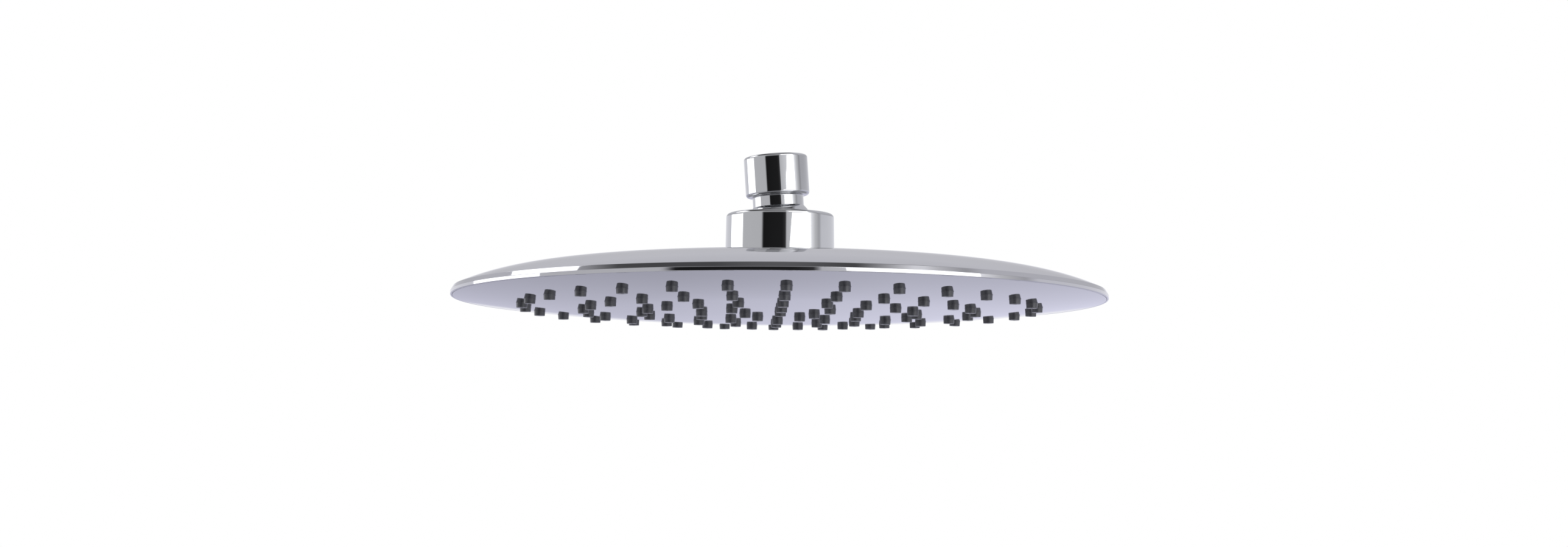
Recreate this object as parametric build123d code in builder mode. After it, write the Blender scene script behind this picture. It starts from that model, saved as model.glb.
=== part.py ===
from build123d import *
import os
from math import cos, radians, sin, sqrt

os.makedirs("parts", exist_ok=True)

# Rain shower head, 250 mm across, on a ball swivel with a G1/2 inlet.
# Millimetres, +Z up. The origin is the centre of the inlet's mouth.
# The head hangs level, and the inlet leans to the side as it does on its arm.

# Inlet connector: one turned piece with barrel, neck and ball
lean = 4.0                    # inlet axis against the head's axis
ball_radius = 13.4
ball_bore = 5.0               # radius of the water way through neck and ball
ball_mouth = 5.5              # radius where the ball is cut off below
neck_radius = 9.75
neck_top = 13.2               # heights along the inlet axis, from the ball's centre
barrel_wall = 1.72            # round the thread
barrel_length = 15.5
barrel_edge = 1.2
barrel_foot_edge = 1.2
thread_radius = 10.48         # G1/2 female, at the thread's root
thread_length = 10.2
washer_shoulder = 1.13        # ledge below the thread
washer_seat_depth = 3.0
regulator_shoulder = 1.35     # ledge below the washer
regulator_pocket_depth = 6.0

# What the inlet holds
washer_thickness = 2.0
washer_width = 2.85
screen_thickness = 0.5
screen_rise = 1.4
screen_hole = 0.6
screen_rings = 2              # rings of holes round the middle one
screen_margin = 0.6           # between the outer holes and the pan's rise
regulator_height = 5.4
regulator_groove_depth = 2.5
o_ring_section = 1.15

# Ball bearing inside the collar, heights from the ball's centre
slip = 0.1                    # clearance of every sliding face
liner_thickness = 0.8
liner_low = -20.0             # latitudes of the liner on the ball
liner_high = -2.0
seat_wall = 1.5               # of the lower seat, round the liner's pocket
seal_depth = 2.9              # from the ball's lowest point up to the seal
seal_height = 2.0
seat_floor = 3.0              # of the lower seat, under the seal
seal_ledge = 2.6              # width of that floor under the seal
seal_shoulder = 4.4           # from the seal to the seat's outside
pocket_top = 3.3
slip_ring_top = 5.0

# Collar and threaded spigot
collar_wall = 2.9             # round the spigot's thread
collar_flare = 0.3            # how much wider the collar is at its foot
collar_top = 6.4
collar_edge = 1.5
lip_gap = 0.35                # between the collar's lip and the ball
spigot_wall = 1.6
spigot_top = 1.8
flange_width = 6.9
flange_thickness = 2.5
gasket_thickness = 1.3

# Head, heights from the middle plane of its rim
head_radius = 125.0
ball_height = 26.0
rim_top = 2.5
rim_shoulder = 0.8            # foot of the rim's bevel, above its upright wall
rim_bottom = -0.6
rim_bevel = 1.0
rim_edge = 0.2
rim_lip = 0.7                 # wall of the rim round the face plate
dome_rise = 10.1
dome_fullness = 5.5
shell_wall = 2.2
face_sag = 5.5
face_middle = 60.0            # radius of the face's nearly flat middle
face_crown = 2750.0           # radius of the ball that the middle is cut from
face_wall = 2.0
face_rebate = 0.8             # how much thinner the face plate is on the ledge
fit = 0.1                     # gap between parts that lie on each other

# Shell ribs, rim gasket and snap hooks
rib_count = 10
rib_width = 1.4
rib_depth = 2.6
rib_start_gap = 5.5           # from the spigot's flange to the ribs
rib_end_gap = 8.6             # from the ribs to the hooks
ledge_width = 3.8
gasket_groove_inset = 0.8     # from the face plate's edge
gasket_groove_width = 1.8
gasket_groove_depth = 1.2
hook_count = 10
hook_width = 8.0
hook_inset = 7.8              # from the ledge
hook_stem = 1.4
hook_nose = 1.0
hook_nose_height = 1.1
hook_play = 0.2
catch_wall = 1.2

# Nozzles
nozzle_margin = 26.2          # from the face plate's edge to the outermost ring
ring_shares = [1.0, 0.762, 0.535, 0.318, 0.141]     # of the outermost ring's radius
ring_counts = [30, 25, 20, 10, 5]
nozzle_phase = 1.4            # degrees from the front
nozzle_drop = 1.9
nozzle_tip_radius = 1.85
nozzle_base_radius = 2.2
nozzle_clearance = 0.1
mat_thickness = 1.4
mat_margin = 9.0              # beyond the outermost ring
terrace_half = 5.0            # half the flat under each ring of nozzles

# Retainer grid that presses the mat on the face plate
retainer_thickness = 1.8
window_half = 6.5             # half the retainer's gap over a ring of nozzles
spoke_count = 5
spoke_width = 4.0
spoke_offset = 9.0            # degrees from the nozzles' phase
boss_radius = 3.0
boss_gap = 0.35               # under the retainer, which slopes across each boss
screw_radius = 1.4
screw_bite = 2.4
screw_head_radius = 2.7
screw_head_height = 1.8
screw_seat_depth = 0.4
screw_slot_length = 2.8
screw_slot_width = 0.8

# Places of the two axes
inlet_reach = neck_top + barrel_length
ball_centre = Vector(inlet_reach * sin(radians(lean)), 0, -inlet_reach * cos(radians(lean)))
rim_centre = ball_centre - Vector(0, 0, ball_height)
head_axis = Axis(ball_centre, (0, 0, 1))
inlet_axis = Axis(ball_centre, (-sin(radians(lean)), 0, cos(radians(lean))))
inlet_side = Plane(ball_centre, x_dir=(cos(radians(lean)), 0, sin(radians(lean))), z_dir=(0, -1, 0))
ball_side = Plane(ball_centre, x_dir=(1, 0, 0), z_dir=(0, -1, 0))
rim_side = Plane(rim_centre, x_dir=(1, 0, 0), z_dir=(0, -1, 0))
front_angle = nozzle_phase - 90
spoke_angle = front_angle + spoke_offset

# Radii that follow from the inlet's thread
barrel_radius = thread_radius + barrel_wall
washer_seat_radius = thread_radius - washer_shoulder
washer_hole = washer_seat_radius - washer_width
regulator_pocket_radius = washer_seat_radius - regulator_shoulder

# Radii and heights that follow from the ball outwards
liner_inner = ball_radius + slip
liner_outer = liner_inner + liner_thickness
pocket_radius = liner_outer + slip
seat_radius = pocket_radius + seat_wall
seal_radius = seat_radius - seal_shoulder
seal_bottom = seal_depth - ball_radius
seal_top = seal_bottom + seal_height
seat_bottom = seal_bottom - seat_floor
seat_bore = seal_radius - seal_ledge
spigot_bore = seat_bore + slip
spigot_inner = seat_radius + slip
spigot_radius = spigot_inner + spigot_wall
collar_bore = spigot_radius + fit
collar_radius = collar_bore + collar_wall
collar_foot_radius = collar_radius + collar_flare
flange_radius = spigot_radius + flange_width
rib_inner = flange_radius + rib_start_gap

# Radii that follow from the rim inwards
face_radius = head_radius - rim_lip - fit
ledge_inner = face_radius - ledge_width
gasket_groove_outer = face_radius - gasket_groove_inset
gasket_groove_inner = gasket_groove_outer - gasket_groove_width
hook_radius = ledge_inner - hook_inset
rib_outer = hook_radius - rib_end_gap
nozzle_field = face_radius - nozzle_margin
nozzle_rings = [(nozzle_field * share, count) for share, count in zip(ring_shares, ring_counts)]
mat_radius = nozzle_field + mat_margin
screw_radii = [(nozzle_rings[i][0] + nozzle_rings[i + 1][0]) / 2 for i in (0, 2)]

# The face's crown: a flatter middle that runs over into an arc to the rim
middle_lift = face_crown - sqrt(face_crown**2 - face_middle**2)
middle_slope = face_middle / face_crown
crown_run = Vector(face_radius - face_middle, face_sag - middle_lift)
crown_normal = Vector(-middle_slope, sqrt(1 - middle_slope**2))
crown_arc = crown_run.length**2 / (2 * crown_run.dot(crown_normal))


def level(height):
    """Horizontal plane at a height above the rim's middle plane."""
    return Plane(rim_centre + Vector(0, 0, height))


def inlet_level(height):
    """Plane square to the inlet axis at a height from the ball's centre."""
    return Plane(ball_centre, x_dir=inlet_side.x_dir, z_dir=inlet_axis.direction).offset(height)


def on_sphere(radius, height):
    """Radius of a ball's level circle at a height from its centre."""
    return sqrt(radius**2 - height**2)


def dome_height(radius):
    return rim_top + dome_rise * (1 - (radius / (head_radius - rim_bevel)) ** dome_fullness)


def face_height(radius):
    middle = rim_bottom - face_sag
    if radius <= face_middle:
        return middle + face_crown - on_sphere(face_crown, radius)
    centre = Vector(face_middle, middle + middle_lift) + crown_normal * crown_arc
    return centre.Y - on_sphere(crown_arc, radius - centre.X)


def dome_curve(outer, lift, inner):
    """Curve along the dome, with the dome's own slope at both ends."""
    step = 0.01
    radii = [inner + share * (outer - inner) for share in (0, 0.35, 0.6, 0.78, 0.9, 1)]
    slopes = [(dome_height(radius + step) - dome_height(radius)) / step for radius in (inner, outer)]
    return Spline(
        *[(radius, dome_height(radius) + lift) for radius in radii],
        tangents=[(1, slope) for slope in slopes],
    )


def terraces(lift):
    """Points of a stepped section inside the face: a flat under every ring of nozzles."""
    rings = sorted(nozzle_rings)
    points = [(0, face_height(rings[0][0]) + lift)]
    for radius, _ in rings:
        points += [(radius - terrace_half, face_height(radius) + lift)]
        points += [(radius + terrace_half, face_height(radius) + lift)]
    points[-1] = (mat_radius, points[-1][1])
    return [points[0]] + points[2:]


# Inlet connector, bored for the thread, the washer and the regulator
barrel_top = inlet_reach
thread_bottom = barrel_top - thread_length
washer_floor = thread_bottom - washer_seat_depth
pocket_floor = washer_floor - regulator_pocket_depth
mouth_height = -on_sphere(ball_radius, ball_mouth)
neck_bottom = on_sphere(ball_radius, neck_radius)

with BuildPart() as inlet_connector:
    with BuildSketch(inlet_side):
        with BuildLine():
            ball = ThreePointArc((ball_mouth, mouth_height), (ball_radius, 0), (neck_radius, neck_bottom))
            Polyline(
                ball @ 1,
                (neck_radius, neck_top),
                (barrel_radius - barrel_foot_edge, neck_top),
            )
            RadiusArc(
                (barrel_radius - barrel_foot_edge, neck_top),
                (barrel_radius, neck_top + barrel_foot_edge),
                -barrel_foot_edge,
            )
            Line((barrel_radius, neck_top + barrel_foot_edge), (barrel_radius, barrel_top - barrel_edge))
            RadiusArc(
                (barrel_radius, barrel_top - barrel_edge),
                (barrel_radius - barrel_edge, barrel_top),
                -barrel_edge,
            )
            Polyline(
                (barrel_radius - barrel_edge, barrel_top),
                (thread_radius, barrel_top),
                (thread_radius, thread_bottom),
                (washer_seat_radius, thread_bottom),
                (washer_seat_radius, washer_floor),
                (regulator_pocket_radius, washer_floor),
                (regulator_pocket_radius, pocket_floor),
                (ball_bore, pocket_floor),
                (ball_bore, mouth_height),
                ball @ 0,
            )
        make_face()
    revolve(axis=inlet_axis)
inlet_connector.part.label = "inlet_connector"

# Filter screen: a pressed pan with a flat perforated top
screen_rim = washer_seat_radius - fit
screen_low = washer_floor + fit
screen_flat = washer_hole - screen_rise - fit
screen_pitch = (screen_flat - screen_margin - screen_hole) / screen_rings
with BuildPart() as filter_screen:
    with BuildSketch(inlet_side):
        with BuildLine():
            Polyline(
                (0, screen_low + screen_rise),
                (screen_flat, screen_low + screen_rise),
                (washer_hole - fit, screen_low),
                (screen_rim, screen_low),
                (screen_rim, screen_low + screen_thickness),
                (washer_hole - fit, screen_low + screen_thickness),
                (screen_flat, screen_low + screen_rise + screen_thickness),
                (0, screen_low + screen_rise + screen_thickness),
                close=True,
            )
        make_face()
    revolve(axis=inlet_axis)
    with BuildSketch(inlet_level(screen_low + screen_rise)):
        Circle(screen_hole)
        for ring in range(1, screen_rings + 1):
            with PolarLocations(ring * screen_pitch, 6 * ring):
                Circle(screen_hole)
    extrude(amount=screen_thickness, mode=Mode.SUBTRACT)
filter_screen.part.label = "filter_screen"

# Inlet washer on the screen's rim
washer_low = screen_low + screen_thickness + fit
with BuildPart() as inlet_washer:
    with BuildSketch(inlet_level(washer_low)):
        Circle(washer_seat_radius - fit)
        Circle(washer_hole, mode=Mode.SUBTRACT)
    extrude(amount=washer_thickness)
inlet_washer.part.label = "inlet_washer"

# Flow regulator with an O-ring round its waist
regulator_low = pocket_floor + fit
regulator_radius = regulator_pocket_radius - fit
regulator_groove = regulator_radius - regulator_groove_depth
groove_centre = regulator_low + regulator_height / 2
groove_half = o_ring_section + fit
with BuildPart() as flow_regulator:
    with BuildSketch(inlet_side):
        with BuildLine():
            Polyline(
                (0, regulator_low),
                (regulator_radius, regulator_low),
                (regulator_radius, groove_centre - groove_half),
                (regulator_groove, groove_centre - groove_half),
                (regulator_groove, groove_centre + groove_half),
                (regulator_radius, groove_centre + groove_half),
                (regulator_radius, regulator_low + regulator_height),
                (0, regulator_low + regulator_height),
                close=True,
            )
        make_face()
    revolve(axis=inlet_axis)
    with BuildSketch(inlet_level(regulator_low)):
        with PolarLocations(regulator_groove * 0.6, 8):
            Circle(regulator_groove * 0.15)
    extrude(amount=regulator_height, mode=Mode.SUBTRACT)
flow_regulator.part.label = "flow_regulator"

with BuildPart() as regulator_o_ring:
    with BuildSketch(inlet_side):
        with Locations((regulator_radius - o_ring_section, groove_centre)):
            Circle(o_ring_section)
    revolve(axis=inlet_axis)
regulator_o_ring.part.label = "regulator_o_ring"

# Ball liner: a band of a ball, loose between the ball and its seat
with BuildPart() as ball_liner:
    with BuildSketch(inlet_side):
        with BuildLine():
            inner_arc = CenterArc((0, 0), liner_inner, liner_low, liner_high - liner_low)
            outer_arc = CenterArc((0, 0), liner_outer, liner_low, liner_high - liner_low)
            Line(inner_arc @ 0, outer_arc @ 0)
            Line(inner_arc @ 1, outer_arc @ 1)
        make_face()
    revolve(axis=inlet_axis)
ball_liner.part.label = "ball_liner"

# Lower seat, with a pocket for the liner and a step for the seal
seal_seat_radius = seal_radius + slip
pocket_floor_height = seal_top + slip
with BuildPart() as ball_seat:
    with BuildSketch(ball_side):
        with BuildLine():
            pocket = ThreePointArc(
                (on_sphere(pocket_radius, pocket_floor_height), pocket_floor_height),
                (on_sphere(pocket_radius, pocket_floor_height / 2), pocket_floor_height / 2),
                (pocket_radius, 0),
            )
            Polyline(
                pocket @ 1,
                (seat_radius, 0),
                (seat_radius, seat_bottom),
                (seat_bore, seat_bottom),
                (seat_bore, seal_bottom),
                (seal_seat_radius, seal_bottom),
                (seal_seat_radius, pocket_floor_height),
                pocket @ 0,
            )
        make_face()
    revolve(axis=head_axis)
ball_seat.part.label = "ball_seat"

# Rubber seal below the liner, hollowed to the ball
seal_low = seal_bottom + slip
with BuildPart() as ball_seal:
    with BuildSketch(ball_side):
        with BuildLine():
            hollow = ThreePointArc(
                (on_sphere(liner_inner, seal_low), seal_low),
                (on_sphere(liner_inner, (seal_low + seal_top) / 2), (seal_low + seal_top) / 2),
                (on_sphere(liner_inner, seal_top), seal_top),
            )
            Polyline(hollow @ 1, (seal_radius, seal_top), (seal_radius, seal_low), hollow @ 0)
        make_face()
    revolve(axis=head_axis)
ball_seal.part.label = "ball_seal"

# Slip ring above the ball's middle, closing the pocket
with BuildPart() as slip_ring:
    with BuildSketch(ball_side):
        with BuildLine():
            pocket = ThreePointArc(
                (on_sphere(pocket_radius, slip), slip),
                (on_sphere(pocket_radius, pocket_top / 2), pocket_top / 2),
                (on_sphere(pocket_radius, pocket_top), pocket_top),
            )
            bearing = ThreePointArc(
                (on_sphere(liner_inner, pocket_top), pocket_top),
                (on_sphere(liner_inner, (pocket_top + slip_ring_top) / 2), (pocket_top + slip_ring_top) / 2),
                (on_sphere(liner_inner, slip_ring_top), slip_ring_top),
            )
            Line(pocket @ 1, bearing @ 0)
            Polyline(bearing @ 1, (seat_radius, slip_ring_top), (seat_radius, slip), pocket @ 0)
        make_face()
    revolve(axis=head_axis)
slip_ring.part.label = "slip_ring"

# Collar: the ring nut that holds the ball down and clamps the shell
collar_bottom = dome_height(collar_foot_radius) + fit - ball_height
lip_bottom = slip_ring_top + slip
lip_radius = ball_radius + lip_gap
with BuildPart() as collar:
    with BuildSketch(ball_side):
        with BuildLine():
            lip = ThreePointArc(
                (on_sphere(lip_radius, lip_bottom), lip_bottom),
                (on_sphere(lip_radius, (lip_bottom + collar_top) / 2), (lip_bottom + collar_top) / 2),
                (on_sphere(lip_radius, collar_top), collar_top),
            )
            Line(lip @ 1, (collar_radius - collar_edge, collar_top))
            RadiusArc(
                (collar_radius - collar_edge, collar_top),
                (collar_radius, collar_top - collar_edge),
                collar_edge,
            )
            Polyline(
                (collar_radius, collar_top - collar_edge),
                (collar_foot_radius, collar_bottom),
                (collar_bore, collar_bottom),
                (collar_bore, spigot_top + fit),
                (spigot_inner, spigot_top + fit),
                (spigot_inner, lip_bottom),
                lip @ 0,
            )
        make_face()
    revolve(axis=head_axis)
collar.part.label = "collar"

# Spigot: threaded tube up through the shell, with a flange below it
shell_under = dome_height(flange_radius) - shell_wall - ball_height
flange_top = shell_under - gasket_thickness - 2 * fit
flange_bottom = flange_top - flange_thickness
seat_shelf = seat_bottom - slip
with BuildPart() as spigot:
    with BuildSketch(ball_side):
        with BuildLine():
            Polyline(
                (spigot_bore, flange_bottom),
                (flange_radius, flange_bottom),
                (flange_radius, flange_top),
                (spigot_radius, flange_top),
                (spigot_radius, spigot_top),
                (spigot_inner, spigot_top),
                (spigot_inner, seat_shelf),
                (spigot_bore, seat_shelf),
                close=True,
            )
        make_face()
    revolve(axis=head_axis)
spigot.part.label = "spigot"

with BuildPart() as spigot_gasket:
    with BuildSketch(level(ball_height + flange_top + fit)):
        Circle(flange_radius)
        Circle(spigot_radius + fit, mode=Mode.SUBTRACT)
    extrude(amount=gasket_thickness)
spigot_gasket.part.label = "spigot_gasket"

# Top shell: domed, bevelled at the rim, with a ledge for the face plate
shell_hole = spigot_radius + fit
ledge_height = rim_bottom + face_wall - face_rebate + fit
catch_inner = hook_radius + hook_stem / 2 + hook_nose + hook_play
catch_bottom = face_height(hook_radius) + face_wall + 2 * hook_play
catch_lip = catch_inner - hook_nose
nose_bottom = catch_bottom + hook_nose_height + hook_play
with BuildPart() as top_shell:
    with BuildSketch(rim_side):
        with BuildLine():
            outside = dome_curve(head_radius - rim_bevel, 0, shell_hole)
            inside = dome_curve(ledge_inner, -shell_wall, shell_hole)
            Polyline(
                outside @ 1,
                (head_radius, rim_shoulder),
                (head_radius, rim_bottom + rim_edge),
                (head_radius - rim_edge, rim_bottom),
                (face_radius + fit, rim_bottom),
                (face_radius + fit, ledge_height),
                (ledge_inner, ledge_height),
                inside @ 1,
            )
            Line(inside @ 0, outside @ 0)
        make_face()
    revolve(axis=head_axis)
    # Groove for the rim gasket
    with BuildSketch(level(ledge_height)):
        Circle(gasket_groove_outer)
        Circle(gasket_groove_inner, mode=Mode.SUBTRACT)
    extrude(amount=gasket_groove_depth, mode=Mode.SUBTRACT)
    # Catch ring for the snap hooks, hanging from the dome
    with BuildSketch(rim_side):
        with BuildLine():
            Polyline(
                (catch_lip, catch_bottom),
                (catch_inner + catch_wall, catch_bottom),
                (catch_inner + catch_wall, dome_height(catch_inner + catch_wall) - shell_wall / 2),
                (catch_inner, dome_height(catch_inner) - shell_wall / 2),
                (catch_inner, catch_bottom + hook_nose_height),
                (catch_lip, catch_bottom + hook_nose_height),
                close=True,
            )
        make_face()
    revolve(axis=head_axis)
    # Radial ribs under the dome
    with BuildSketch(rim_side):
        with BuildLine():
            crown = dome_curve(rib_outer, -shell_wall / 2, rib_inner)
            root = dome_curve(rib_outer, -shell_wall - rib_depth, rib_inner)
            Line(crown @ 0, root @ 0)
            Line(crown @ 1, root @ 1)
        make_face()
    rib = extrude(amount=rib_width / 2, both=True, mode=Mode.PRIVATE)
    for number in range(rib_count):
        add(rib.rotate(head_axis, number * 360 / rib_count))
top_shell.part.label = "top_shell"

with BuildPart() as rim_gasket:
    with BuildSketch(level(ledge_height + fit / 2)):
        Circle(gasket_groove_outer - fit)
        Circle(gasket_groove_inner + fit, mode=Mode.SUBTRACT)
    extrude(amount=gasket_groove_depth - fit)
rim_gasket.part.label = "rim_gasket"

# Face plate: crowned downwards, with a hole for every nozzle
mat_low = face_wall + fit
retainer_low = mat_low + mat_thickness + fit
retainer_high = retainer_low + retainer_thickness
hook_top = nose_bottom + hook_nose_height
rebate_radius = ledge_inner - 2 * fit
with BuildPart() as face_plate:
    with BuildSketch(rim_side):
        with BuildLine():
            middle = ThreePointArc(
                *[(radius, face_height(radius)) for radius in (0, face_middle / 2, face_middle)]
            )
            margin = ThreePointArc(
                middle @ 1,
                *[(radius, face_height(radius)) for radius in ((face_middle + face_radius) / 2, face_radius)],
            )
            Polyline(
                middle @ 0,
                *terraces(face_wall),
                (rebate_radius, face_height(rebate_radius) + face_wall),
                (rebate_radius, rim_bottom + face_wall - face_rebate),
                (face_radius, rim_bottom + face_wall - face_rebate),
                margin @ 1,
            )
        make_face()
    revolve(axis=head_axis)
    for radius, count in nozzle_rings:
        with BuildSketch(level(face_height(radius) - face_wall)):
            with PolarLocations(radius, count, front_angle):
                Circle(nozzle_base_radius + nozzle_clearance)
        extrude(amount=3 * face_wall, mode=Mode.SUBTRACT)
    # Snap hooks that clip over the shell's catch ring
    hook_inner = hook_radius - hook_stem / 2
    hook_outer = hook_radius + hook_stem / 2
    with BuildSketch(rim_side):
        with BuildLine():
            Polyline(
                (hook_inner, face_height(hook_inner) + face_wall / 2),
                (hook_outer, face_height(hook_outer) + face_wall / 2),
                (hook_outer, nose_bottom),
                (hook_outer + hook_nose, nose_bottom),
                (hook_outer, hook_top),
                (hook_inner, hook_top),
                close=True,
            )
        make_face()
    hook = extrude(amount=hook_width / 2, both=True, mode=Mode.PRIVATE)
    for number in range(hook_count):
        add(hook.rotate(head_axis, spoke_angle + number * 360 / hook_count))
    # Screw bosses that stand through the mat
    for radius in screw_radii:
        with BuildSketch(level(face_height(radius) + face_wall / 2)):
            with PolarLocations(radius, spoke_count, spoke_angle):
                Circle(boss_radius)
        extrude(amount=retainer_low - face_wall / 2 - boss_gap)
        with BuildSketch(level(face_height(radius) + retainer_low - screw_bite)):
            with PolarLocations(radius, spoke_count, spoke_angle):
                Circle(screw_radius + fit / 2)
        extrude(amount=screw_bite, mode=Mode.SUBTRACT)
face_plate.part.label = "face_plate"

# Nozzle mat: one silicone sheet with every nozzle moulded on it
with BuildPart() as nozzle_mat:
    with BuildSketch(rim_side):
        with BuildLine():
            Polyline(*terraces(mat_low), *reversed(terraces(mat_low + mat_thickness)), close=True)
        make_face()
    revolve(axis=head_axis)
    for radius, count in nozzle_rings:
        with Locations(level(face_height(radius) - nozzle_drop)):
            with PolarLocations(radius, count, front_angle):
                Cone(
                    bottom_radius=nozzle_tip_radius,
                    top_radius=nozzle_base_radius,
                    height=nozzle_drop + mat_low + mat_thickness / 2,
                    align=(Align.CENTER, Align.CENTER, Align.MIN),
                )
    with BuildSketch(level(face_height(0))):
        for radius in screw_radii:
            with PolarLocations(radius, spoke_count, spoke_angle):
                Circle(boss_radius + fit)
    extrude(amount=face_sag + retainer_low, mode=Mode.SUBTRACT)
nozzle_mat.part.label = "nozzle_mat"

# Mat retainer: rings between the rows of nozzles, joined by spokes
retainer_inner = nozzle_rings[-1][0] + window_half
with BuildPart() as mat_retainer:
    with BuildSketch(rim_side):
        with BuildLine():
            Polyline(*terraces(retainer_low), *reversed(terraces(retainer_high)), close=True)
        make_face()
    revolve(axis=head_axis)
    with BuildSketch(level(face_height(0))):
        Circle(retainer_inner)
    extrude(amount=retainer_high + retainer_thickness, mode=Mode.SUBTRACT)
    for radius, _ in nozzle_rings[:-1]:
        with BuildSketch(level(face_height(0))):
            Circle(radius + window_half)
            Circle(radius - window_half, mode=Mode.SUBTRACT)
            with PolarLocations(0, spoke_count, spoke_angle):
                Rectangle(mat_radius, spoke_width, align=(Align.MIN, Align.CENTER), mode=Mode.SUBTRACT)
        extrude(amount=face_sag + retainer_high, mode=Mode.SUBTRACT)
    # Screw holes, each with a flat seat for the screw's head
    for radius in screw_radii:
        with BuildSketch(level(face_height(radius))):
            with PolarLocations(radius, spoke_count, spoke_angle):
                Circle(screw_radius + fit)
        extrude(amount=retainer_high + retainer_thickness, mode=Mode.SUBTRACT)
        with BuildSketch(level(face_height(radius) + retainer_high - screw_seat_depth)):
            with PolarLocations(radius, spoke_count, spoke_angle):
                Circle(screw_head_radius + fit)
        extrude(amount=retainer_thickness, mode=Mode.SUBTRACT)
mat_retainer.part.label = "mat_retainer"

# Pan-head screws through the retainer into the face plate's bosses
with BuildPart() as retainer_screws:
    for radius in screw_radii:
        head_seat = face_height(radius) + retainer_high - screw_seat_depth + fit / 2
        with Locations(level(head_seat)):
            with PolarLocations(radius, spoke_count, spoke_angle):
                Cylinder(screw_head_radius, screw_head_height, align=(Align.CENTER, Align.CENTER, Align.MIN))
                Cylinder(
                    screw_radius,
                    screw_bite + retainer_thickness - screw_seat_depth - fit,
                    align=(Align.CENTER, Align.CENTER, Align.MAX),
                )
        with BuildSketch(level(head_seat + screw_head_height)):
            with PolarLocations(radius, spoke_count, spoke_angle):
                Rectangle(screw_slot_length, screw_slot_width)
                Rectangle(screw_slot_width, screw_slot_length)
        extrude(amount=-screw_head_height / 2, mode=Mode.SUBTRACT)
retainer_screws.part.label = "retainer_screws"

pieces = [
    inlet_connector,
    filter_screen,
    inlet_washer,
    flow_regulator,
    regulator_o_ring,
    ball_liner,
    ball_seat,
    ball_seal,
    slip_ring,
    collar,
    spigot,
    spigot_gasket,
    top_shell,
    rim_gasket,
    face_plate,
    nozzle_mat,
    mat_retainer,
    retainer_screws,
]
for piece in pieces:
    export_step(piece.part, f"parts/{piece.part.label}.step")
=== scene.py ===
from math import asin, cos, degrees, pi, radians, sin, sqrt, tan

import bmesh
import bpy
from mathutils import Matrix, Quaternion, Vector


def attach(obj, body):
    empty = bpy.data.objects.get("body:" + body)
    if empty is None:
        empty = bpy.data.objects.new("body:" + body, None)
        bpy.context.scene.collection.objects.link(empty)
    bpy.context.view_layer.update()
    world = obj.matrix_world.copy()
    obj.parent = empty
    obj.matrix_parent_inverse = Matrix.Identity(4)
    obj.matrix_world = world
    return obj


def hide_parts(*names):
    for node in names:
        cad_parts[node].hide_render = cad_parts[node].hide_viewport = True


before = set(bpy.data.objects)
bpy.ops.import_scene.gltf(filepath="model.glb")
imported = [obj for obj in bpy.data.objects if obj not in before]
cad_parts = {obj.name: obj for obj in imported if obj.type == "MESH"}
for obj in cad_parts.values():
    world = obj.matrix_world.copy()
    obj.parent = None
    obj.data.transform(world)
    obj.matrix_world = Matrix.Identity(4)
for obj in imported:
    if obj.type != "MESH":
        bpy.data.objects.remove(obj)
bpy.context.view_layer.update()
mm = 0.001
up = Vector((0, 0, 1))

# Sizes in millimetres, as in the CAD model where it has them. Heights of the head count from the middle
# of its rim, heights of the collar and the inlet from the ball's centre.
lean = radians(4.0)
inlet_reach = 28.7
inlet_axis = Vector((-sin(lean), 0, cos(lean)))
ball_centre = inlet_axis * -inlet_reach
ball_height = 26.0
rim_centre = ball_centre - up * ball_height
fit = 0.1

head_radius = 125.0
rim_top, rim_shoulder, rim_bottom = 2.5, 0.8, -0.6
rim_bevel, rim_lip = 1.0, 0.7
dome_rise, dome_fullness = 10.1, 5.5
shell_wall, shell_hole = 2.2, 17.7
face_radius = head_radius - rim_lip - fit
face_sag, face_middle, face_crown = 5.5, 60.0, 2750.0
face_wall, face_rebate = 2.0, 0.8
ledge_width, hook_inset = 3.8, 7.8
ledge_inner = face_radius - ledge_width
ledge_height = rim_bottom + face_wall - face_rebate + fit
groove_inset, groove_width, groove_depth = 0.8, 1.8, 1.2
groove_outer = face_radius - groove_inset
groove_inner = groove_outer - groove_width
hook_radius = ledge_inner - hook_inset
hook_stem, hook_nose, hook_nose_height, hook_play, catch_wall = 1.4, 1.0, 1.1, 0.2, 1.2
catch_inner = hook_radius + hook_stem / 2 + hook_nose + hook_play
catch_lip = catch_inner - hook_nose
rib_count, rib_width, rib_depth, rib_taper, rib_margin = 10, 1.4, 2.6, 0.15, 8.6
rib_inner, rib_outer = 30.0, hook_radius - rib_margin

nozzle_margin = 26.2
nozzle_field = face_radius - nozzle_margin
ring_shares, ring_counts = (1, 0.762, 0.535, 0.318, 0.141), (30, 25, 20, 10, 5)
nozzle_rings = [(nozzle_field * share, count) for share, count in zip(ring_shares, ring_counts)]
front_angle, nozzle_turn = -90.0, 1.4
nozzle_phase, nozzle_tilt = radians(front_angle + nozzle_turn), radians(1.5)
nozzle_drop, tilt_room = 1.9, 0.07
mat_wall = 1.4
mat_top = face_wall + fit + mat_wall

thread_root, thread_crest, thread_pitch, thread_length = 10.48, 9.32, 1.814, 10.2

# The photograph's camera: a plain lens, pitched up at the head from below its rim
camera_place = Vector((2.0, -1066.0, -140.64))
camera_pitch, camera_yaw, camera_roll = radians(5.125), radians(-0.089), radians(0.432)
camera_lens = 64.267


def dome_height(radius):
    return rim_top + dome_rise * (1 - (radius / (head_radius - rim_bevel)) ** dome_fullness)


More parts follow.
